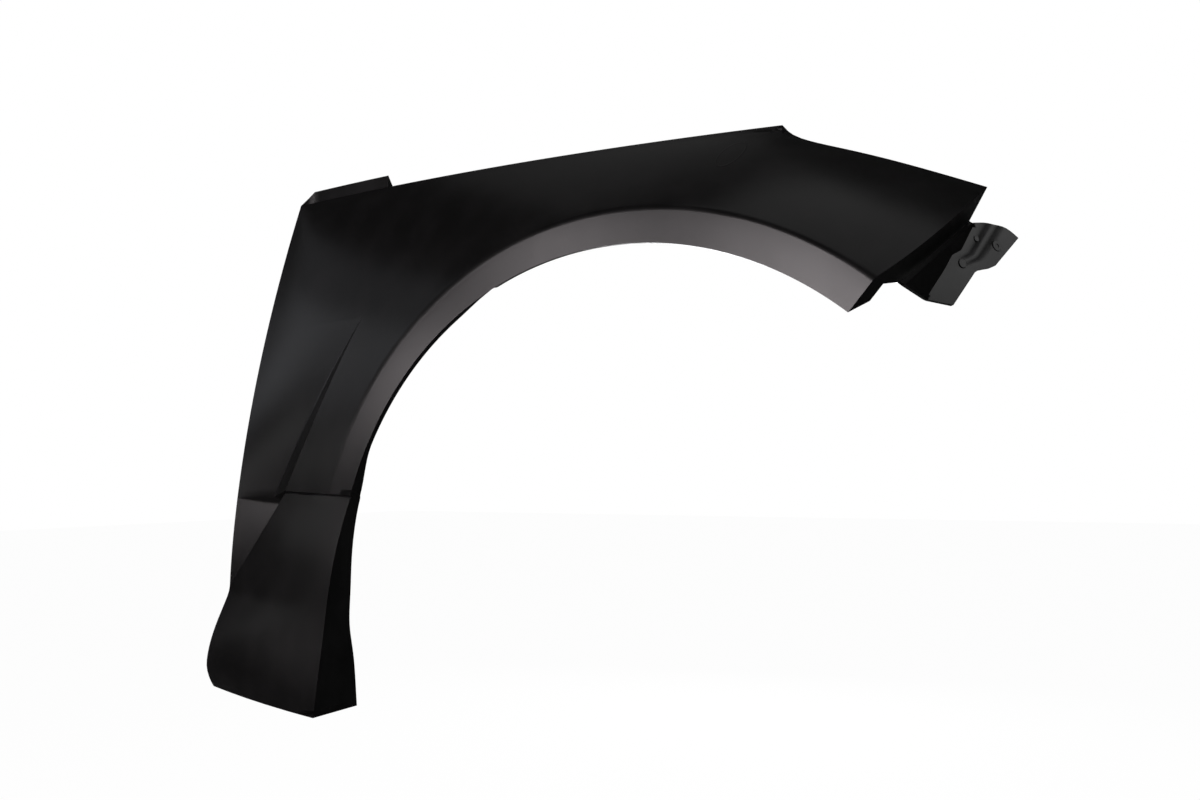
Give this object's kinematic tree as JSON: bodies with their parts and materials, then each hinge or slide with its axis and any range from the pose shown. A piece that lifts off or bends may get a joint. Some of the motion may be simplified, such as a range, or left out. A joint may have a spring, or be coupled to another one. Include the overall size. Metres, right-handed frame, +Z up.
{
  "type": "car fender",
  "caption": "Right-hand front car fender moulded in one piece, with a wide arch band, a recessed rear panel, a foot by the sill, and hood, lamp and bumper flanges.",
  "frame": {"origin": "centre of the flat beside the slot on the middle bolt seat of the hood flange, on the seat's upper face", "axes": "+X to the front of the car, -Y outboard, +Z up, as fitted to the car"},
  "size_m": [0.8993, 0.2432, 0.6606],
  "materials": {
    "gel_coat": "satin black gel coat on glass fibre laminate"
  },
  "bodies": {
    "root": {"fender_panel": "gel_coat"}
  },
  "joints": []
}
